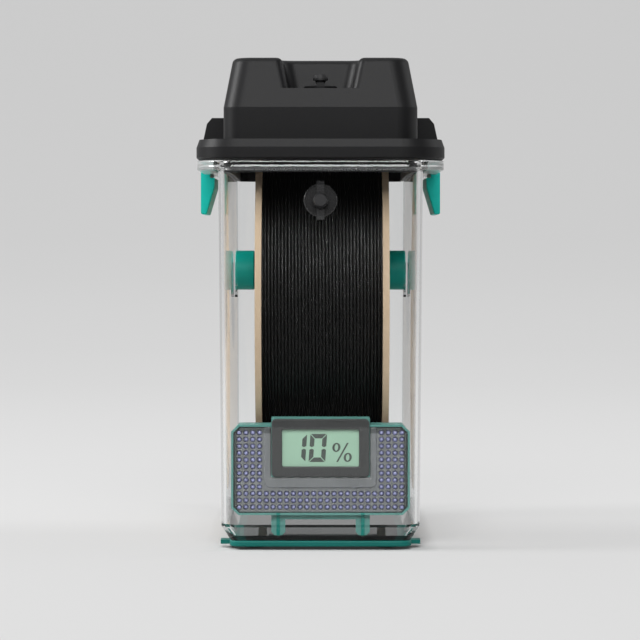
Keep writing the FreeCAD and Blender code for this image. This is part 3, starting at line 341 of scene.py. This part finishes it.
# black and grey plastic, moulded with a fine grain
def grainedBlack(name, tone, grain, rough, depth, accent=None, gloss=0.14):
    look = {"cloud": 18, "low": 0.9, "high": 1.1, "swing": 0.08, "pits": 0.6, "pitShare": 0.4}
    paint = Paint(name)
    fine = paint.noise(grain, detail=2.0)
    broad = paint.noise(look["cloud"])
    colour = paint.blend(broad, *shades(tone, look["low"], look["high"]))
    if accent:
        area, shade = accent(paint)
        colour = paint.blend(area, colour, rgb(*shade))
    pits = paint.cells(grain * look["pits"]) * look["pitShare"]
    skin = paint.skin(Base_Color=colour, Roughness=fine.span(rough - look["swing"], rough + look["swing"]),
                      Specular_IOR_Level=gloss, Normal=paint.bump(fine + pits, depth, strength=0.6))
    return paint.finish(skin)


# the grip bar is painted paler than the disc around it: a painted highlight for the light the raised bar
# catches
def gripBar(paint):
    bar = {"half": 0.0019, "tone": (30, 30, 31)}
    return abs(paint.axis("X")) < bar["half"], bar["tone"]


lidBlack = grainedBlack("lidBlack", tone=(20, 20, 21), grain=2600, rough=0.46, depth=0.00005)
frontFitting = grainedBlack("frontFitting", tone=(13, 13, 14), grain=3200, rough=0.28, depth=0.00002,
                            accent=gripBar, gloss=0.6)
topFitting = grainedBlack("topFitting", tone=(13, 13, 14), grain=3200, rough=0.45, depth=0.00003)
bezelGrey = grainedBlack("bezelGrey", tone=(56, 57, 57), grain=3400, rough=0.48, depth=0.00003)
dress(lidBlack, "lid_shell")
dress(frontFitting, "front_outlet_collar", "front_outlet_nut")
dress(topFitting, "top_outlet_collar", "top_outlet_nut")
dress(bezelGrey, "hygrometer_bezel", "hygrometer_case")


# rubber and silicone, a little dusty
def rubber(name, tone, rough):
    look = {"dusty": 1.35, "swing": 0.1, "grain": 2200, "depth": 0.00004}
    paint = Paint(name)
    dust = paint.noise(scale=260, detail=4.0)
    colour = paint.blend(dust, *shades(tone, 1, look["dusty"]))
    grain = paint.noise(look["grain"], detail=2.0)
    skin = paint.skin(Base_Color=colour, Roughness=dust.span(rough, rough + look["swing"]),
                      Specular_IOR_Level=0.3, Normal=paint.bump(grain, look["depth"], strength=0.5))
    return paint.finish(skin)


blackRubber = rubber("blackRubber", tone=(26, 26, 26), rough=0.62)
plugSilicone = rubber("plugSilicone", tone=(24, 24, 25), rough=0.5)
dress(blackRubber, "rubber_feet", "lid_gasket", "front_outlet_washer", "top_outlet_washer")
dress(plugSilicone, "front_plug", "top_plug")


# teal plastic
def tealPlastic(name, tone, rough, accent=None):
    look = {"low": 0.93, "high": 1.05, "swing": 0.05, "grain": 2400, "depth": 0.00003}
    paint = Paint(name)
    flow = paint.noise(scale=30)
    fine = paint.noise(look["grain"], detail=2.0)
    colour = paint.blend(flow, *shades(tone, look["low"], look["high"]))
    if accent:
        area, shade = accent(paint)
        colour = paint.blend(area, colour, rgb(*shade))
    skin = paint.skin(Base_Color=colour, Roughness=fine.span(rough - look["swing"], rough + look["swing"]),
                      Specular_IOR_Level=0.2, Normal=paint.bump(fine, look["depth"], strength=0.4))
    return paint.finish(skin)


def legRibs(paint):
    rib = {"place": 0.0208, "half": 0.0009, "tone": (0, 112, 102)}
    across = abs(abs(paint.axis("X")) - rib["place"]) < rib["half"]
    return across * (paint.axis("Z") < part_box("cartridge_grille")[0].z), rib["tone"]


def paintedBaseShade(paint):
    # painted shade: the top of the base tray, where the container stands, is painted dark for the shade
    # under the container
    underShade = {"halfWide": 0.038, "halfDeep": 0.1, "skin": 0.0002, "tone": (34, 36, 36)}
    area = (abs(paint.axis("X")) < underShade["halfWide"]) * (abs(paint.axis("Y")) < underShade["halfDeep"])
    return area * (paint.axis("Z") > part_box("base_tray")[1].z - underShade["skin"]), underShade["tone"]


teal = tealPlastic("tealPlastic", tone=(3, 142, 132), rough=0.45)
# the latches are painted a paler teal than the other teal parts: a painted lit copy of the same plastic
tealLatchLit = tealPlastic("tealLatchLit", tone=(14, 188, 176), rough=0.45)
# the base tray is painted a deeper teal than the other teal parts: a painted shaded copy of the same plastic
tealBaseShaded = tealPlastic("tealBaseShaded", tone=(3, 92, 85), rough=0.5, accent=paintedBaseShade)
tealFrame = tealPlastic("tealFrame", tone=(84, 134, 127), rough=0.38, accent=legRibs)
dress(teal, "axle_cap_left", "axle_cap_right", "roller_sleeve")
dress(tealLatchLit, "latch_left", "latch_right")
dress(tealBaseShaded, "base_tray")
dress(tealFrame, "cartridge_frame")


# turned steel
def turnedSteel():
    look = {"deep": (0.5, 0.5, 0.51, 1), "pale": (0.66, 0.66, 0.66, 1), "rough": (0.2, 0.38),
            "stretch": (1, 60, 60), "depth": 0.00003}
    paint = Paint("turnedSteel")
    lines = paint.noise(scale=60, detail=2.0, rough=0.5, stretch=look["stretch"])
    skin = paint.skin(Base_Color=paint.blend(lines, look["deep"], look["pale"]), Metallic=1.0,
                      Roughness=lines.span(*look["rough"]),
                      Normal=paint.bump(lines, look["depth"], strength=0.3))
    return paint.finish(skin)


dress(turnedSteel(), "axle_shaft", "latch_pin_left", "latch_pin_right", "coin_cells")


# smooth finishes: two close tones, with a little more or less shine
def mottled(name, deep, pale, scale, detail, rough):
    paint = Paint(name)
    spots = paint.noise(scale, detail)
    skin = paint.skin(Base_Color=paint.blend(spots, rgb(*deep), rgb(*pale)), Roughness=spots.span(*rough))
    return paint.finish(skin)


bushPlastic = mottled("bushPlastic", deep=(196, 194, 186), pale=(214, 212, 205), scale=900, detail=3.0,
                      rough=(0.42, 0.57))
dress(bushPlastic, "roller_bush_left", "roller_bush_right")


# kraft cardboard: fibres on the face, plies on the edge
def kraftBoard():
    look = {"pale": (201, 181, 157), "deep": (176, 153, 127), "line": (150, 126, 100), "rough": (0.88, 0.76),
            "fibre": 0.6, "blotch": 0.4, "ply": 0.00045, "wander": 3.0, "plyTint": 0.28, "plyBump": 0.6,
            "depth": 0.0001}
    paint = Paint("kraftBoard")
    fibre = paint.noise(scale=900, detail=5.0, rough=0.65, stretch=(1, 1, 0.25))
    blotch = paint.noise(scale=70, detail=4.0)
    wander = paint.noise(scale=120, detail=2.0) * look["wander"]
    plies = (paint.axis("X") * (2 * math.pi / look["ply"]) + wander).sine() * 0.5 + 0.5
    shade = (fibre * look["fibre"] + blotch * look["blotch"]).least(1.0)
    colour = paint.blend(shade, rgb(*look["deep"]), rgb(*look["pale"]))
    colour = paint.blend(plies * look["plyTint"], colour, rgb(*look["line"]))
    height = fibre + plies * look["plyBump"]
    skin = paint.skin(Base_Color=colour, Roughness=fibre.span(*look["rough"]), Specular_IOR_Level=0.15,
                      Normal=paint.bump(height, look["depth"], strength=0.7))
    return paint.finish(skin)


dress(kraftBoard(), "spool_flange_left", "spool_flange_right", "spool_core")


# filament: satin, a little streaked along the strand
def filamentBlack():
    look = {"deep": 6, "pale": 8, "rough": (0.41, 0.44), "stretch": (12, 1, 1)}
    paint = Paint("filamentBlack")
    streak = paint.noise(scale=40, detail=2.0, rough=0.5, stretch=look["stretch"])
    skin = paint.skin(Base_Color=paint.blend(streak, grey(look["deep"]), grey(look["pale"])),
                      Roughness=streak.span(*look["rough"]), Specular_IOR_Level=0.2)
    return paint.finish(skin)


filament = filamentBlack()
dress(filament, "filament_pack")


def buildFilamentTurns():
    # the outer layer, side by side from flange to flange
    wind = {"strand": 0.001685, "gap": 0.0002, "spacing": 1.002, "sway": 0.00002, "sink": 0.00003,
            "segments": 128, "sides": 8, "seed": 4}
    low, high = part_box("filament_outer_layer")
    centre = (low + high) / 2
    outer = (high.z - low.z) / 2
    half = wind["strand"] / 2
    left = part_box("spool_flange_left")[1].x + wind["gap"] + half
    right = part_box("spool_flange_right")[0].x - wind["gap"] - half
    turns = int((right - left) / (wind["strand"] * wind["spacing"]))
    dice = random.Random(wind["seed"])
    sway = [dice.uniform(-wind["sway"], wind["sway"]) for _ in range(turns + 2)]
    lift = [dice.uniform(-wind["sink"], 0.0) for _ in range(turns + 2)]
    rings = turns * wind["segments"] + 1
    sides = wind["sides"]
    points, faces = [], []
    for ring in range(rings):
        share = ring / (rings - 1)
        turn = share * turns
        whole, part = int(turn), turn - int(turn)
        ease = part * part * (3 - 2 * part)
        shift = sway[whole] * (1 - ease) + sway[whole + 1] * ease
        rise = lift[whole] * (1 - ease) + lift[whole + 1] * ease
        angle = turn * 2 * math.pi
        outward = Vector((0, math.cos(angle), math.sin(angle)))
        middle = Vector((left + (right - left) * share + shift, centre.y, centre.z))
        middle += outward * (outer - half + rise)
        for side in range(sides):
            spin = 2 * math.pi * side / sides
            spoke = Vector((math.cos(spin), 0, 0)) + outward * math.sin(spin)
            points.append(middle + spoke * half)
    for ring in range(rings - 1):
        near, far = ring * sides, (ring + 1) * sides
        for side in range(sides):
            after = (side + 1) % sides
            faces.append((near + side, near + after, far + after, far + side))
    faces.append(tuple(reversed(range(sides))))
    faces.append(tuple(range((rings - 1) * sides, rings * sides)))
    piece = addPiece("filamentTurns", addMesh("filamentTurns", points, faces), filament)
    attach(piece, "spool")
    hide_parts("filament_outer_layer")
    print("filament turns", turns)


buildFilamentTurns()


# smoked cartridge windows, with painted shade along the top and side borders
def smokedPlastic():
    look = {"pale": (124, 127, 128), "deep": (108, 111, 112), "rim": (64, 69, 68), "top": 0.003,
            "side": 0.0016, "rough": (0.25, 0.35), "alpha": (0.72, 0.84)}
    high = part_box("cartridge_grille")[1]
    paint = Paint("smokedPlastic")
    flow = paint.noise(scale=60)
    # the top and side borders are painted darker: painted shade standing in for the shading of the frame's
    # border
    rim = (paint.axis("Z") > high.z - look["top"]).most(abs(paint.axis("X")) > high.x - look["side"])
    colour = paint.blend(flow, rgb(*look["deep"]), rgb(*look["pale"]))
    skin = paint.skin(Base_Color=paint.blend(rim, colour, rgb(*look["rim"])),
                      Roughness=flow.span(*look["rough"]), Specular_IOR_Level=0.6,
                      Alpha=flow.span(*look["alpha"]))
    return paint.finish(skin)


dress(smokedPlastic(), "cartridge_grille", "cartridge_cover")


# desiccant beads
def beadGlass():
    look = {"deep": (140, 144, 198), "pale": (166, 170, 216), "cloud": (176, 178, 206), "cloudShare": 0.4,
            "rough": (0.22, 0.37)}
    paint = Paint("desiccantBead")
    tone = paint.noise(scale=240, detail=2.0)
    cloud = paint.noise(scale=1500)
    colour = paint.blend(tone, rgb(*look["deep"]), rgb(*look["pale"]))
    colour = paint.blend(cloud * look["cloudShare"], colour, rgb(*look["cloud"]))
    skin = paint.skin(Base_Color=colour, Roughness=cloud.span(*look["rough"]), Specular_IOR_Level=0.6,
                      Coat_Weight=0.3, Coat_Roughness=0.15)
    return paint.finish(skin)


def buildBeads():
    # a packed bed of beads, the front ones nosing into the grille's holes; those deep inside are left out
    bed = {"pitch": 0.00333, "bead": 0.0033, "nose": 0.0008, "jitter": 0.00008, "layer": 0.86, "shell": 2,
           "columns": 16, "rows": 9, "smallest": 0.93, "turn": 3.1, "ball": 1, "seed": 7}
    room = {"wall": 0.0012, "cutoff": 0.003, "cornerSpare": 1.2, "snug": 0.98}
    low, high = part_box("desiccant_fill")
    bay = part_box("hygrometer_case")
    radius = bed["bead"] / 2
    deep = bed["bead"] * bed["layer"]
    shell = bed["shell"] * bed["bead"]
    middle = (low.z + high.z) / 2
    dice = random.Random(bed["seed"])
    ball = bmesh.new()
    bmesh.ops.create_icosphere(ball, subdivisions=bed["ball"], radius=1.0)
    ballPoints = [vertex.co.copy() for vertex in ball.verts]
    ballFaces = [[vertex.index for vertex in face.verts] for face in ball.faces]
    ball.free()

    def inside(spot, margin):
        if not low.x + margin <= spot.x <= high.x - margin:
            return False
        if not low.y <= spot.y <= high.y - margin:
            return False
        if not low.z + margin <= spot.z <= high.z - margin:
            return False
        corner = min(spot.x - low.x, high.x - spot.x) + min(spot.z - low.z, high.z - spot.z)
        if corner < room["cutoff"] + margin * room["cornerSpare"]:
            return False
        nearBay = bay[0].x - room["wall"] - margin < spot.x < bay[1].x + room["wall"] + margin
        return not (nearBay and spot.z > bay[0].z - room["wall"] - margin)

    points, faces = [], []
    layers = int((high.y - low.y - bed["bead"]) / deep) + 1
    count = 0
    for layer in range(layers):
        offset = 0.5 * (layer % 2)  # every second layer sits in the dips of the one before
        for column in range(-bed["columns"], bed["columns"]):
            for row in range(-bed["rows"], bed["rows"]):
                spot = Vector(((column + offset) * bed["pitch"], low.y + bed["nose"] + layer * deep,
                               middle + (row + 0.5 + offset) * bed["pitch"]))
                spot += Vector([dice.uniform(-1, 1) * bed["jitter"] for _ in range(3)])
                spot.y = min(max(spot.y, low.y + bed["nose"]), high.y - radius)
                if not inside(spot, radius * room["snug"]):
                    continue
                if spot.y > low.y + shell and inside(spot, radius + shell):
                    continue
                size = radius * dice.uniform(bed["smallest"], 1.0)
                turn = Matrix.Rotation(dice.uniform(0, bed["turn"]), 3, "Z")
                start = len(points)
                points += [spot + turn @ point * size for point in ballPoints]
                faces += [[start + index for index in face] for face in ballFaces]
                count += 1
    piece = addPiece("desiccantBeads", addMesh("desiccantBeads", points, faces), beadGlass())
    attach(piece, "box")
    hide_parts("desiccant_fill")
    print("desiccant beads", count)


buildBeads()


# display: polariser, then dark segments laid on it
lcdFilm = mottled("lcdFilm", deep=(146, 179, 157), pale=(154, 188, 165), scale=40, detail=2.0,
                  rough=(0.22, 0.28))
segmentInk = mottled("segmentInk", deep=(50, 58, 53), pale=(64, 74, 68), scale=700, detail=2.0,
                     rough=(0.3, 0.4))
dress(lcdFilm, "lcd_panel")


def buildDigits():
    # a plain reading in seven-segment bars, leaning a little to the right
    sign = {"low": 0.0433, "tall": 0.0138, "wide": 0.0082, "bar": 0.0022, "gap": 0.00028, "tip": 0.0004,
            "shoulder": 0.0009, "slant": 0.07, "oneRight": -0.0075, "zeroLeft": -0.0059,
            "thick": 0.00006, "lift": 0.00004}
    percent = {"left": 0.0053, "wide": 0.0099, "tall": 0.0094, "outer": (0.002, 0.00225),
               "inner": (0.00085, 0.0016), "foot": 0.00286, "head": 0.00744, "half": 0.00045, "steps": 28}
    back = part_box("lcd_panel")[0].y - sign["lift"]
    front = back - sign["thick"]
    low, bar, gap = sign["low"], sign["bar"], sign["gap"]
    middle = low + sign["tall"] / 2
    mesh = bmesh.new()

    def corner(x, y, z):
        return mesh.verts.new((x + (z - low) * sign["slant"], y, z))

    def wall(here, there):
        # quads between two closed loops
        for i in range(len(here)):
            j = (i + 1) % len(here)
            mesh.faces.new((here[i], there[i], there[j], here[j]))

    def slab(outline):
        fore = [corner(x, front, z) for x, z in outline]
        rear = [corner(x, back, z) for x, z in outline]
        mesh.faces.new(fore)
        mesh.faces.new(list(reversed(rear)))
        wall(fore, rear)

    def ring(x, z):
        turns = [2 * math.pi * i / percent["steps"] for i in range(percent["steps"])]
        loops = []
        for reach, y in (("outer", front), ("outer", back), ("inner", back), ("inner", front)):
            wide, tall = percent[reach]
            loops.append([corner(x + wide * math.cos(turn), y, z + tall * math.sin(turn)) for turn in turns])
        for here, there in zip(loops, loops[1:] + loops[:1]):
            wall(here, there)

    def upright(outer, inner, way):
        end = middle + way * sign["tall"] / 2
        shoulder = middle + way * sign["shoulder"]
        tip = middle + way * sign["tip"]
        slab([(outer, end - way * gap), (outer, shoulder), ((outer + inner) / 2, tip),
              (inner, shoulder), (inner, end - way * (bar + gap))])

    def level(left, right, way):
        end = middle + way * sign["tall"] / 2
        slab([(left + gap, end), (right - gap, end),
              (right - bar - gap, end - way * bar), (left + bar + gap, end - way * bar)])

    oneRight, zeroLeft = sign["oneRight"], sign["zeroLeft"]
    zeroRight = zeroLeft + sign["wide"]
    for way in (-1, 1):
        upright(oneRight, oneRight - bar, way)
        upright(zeroLeft, zeroLeft + bar, way)
        upright(zeroRight, zeroRight - bar, way)
        level(zeroLeft, zeroRight, way)
    left, top, half = percent["left"], low + percent["tall"], percent["half"]
    foot, head = left + percent["foot"], left + percent["head"]
    slab([(foot - half, low), (foot + half, low), (head + half, top), (head - half, top)])
    ringWide, ringTall = percent["outer"]
    ring(left + ringWide, top - ringTall)
    ring(left + percent["wide"] - ringWide, low + ringTall)
    bmesh.ops.recalc_face_normals(mesh, faces=mesh.faces)
    data = bpy.data.meshes.new("lcdDigits")
    mesh.to_mesh(data)
    mesh.free()
    piece = addPiece("lcdDigits", data, segmentInk)
    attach(piece, "box")
    print("display digits ready")


buildDigits()


# circuit board: green mask with fine traces
def boardMask():
    look = {"deep": (12, 70, 40), "pale": (20, 92, 54), "trace": (44, 122, 74), "traceWide": 0.06,
            "rough": (0.3, 0.42), "depth": 0.00005}
    paint = Paint("boardMask")
    lane = paint.cells(scale=420, feature="DISTANCE_TO_EDGE") < look["traceWide"]
    fine = paint.noise(scale=500)
    base = paint.blend(fine, rgb(*look["deep"]), rgb(*look["pale"]))
    skin = paint.skin(Base_Color=paint.blend(lane, base, rgb(*look["trace"])),
                      Roughness=fine.span(*look["rough"]),
                      Normal=paint.bump(lane, look["depth"], strength=0.6))
    return paint.finish(skin)


dress(boardMask(), "hygrometer_board")
print("materials ready")
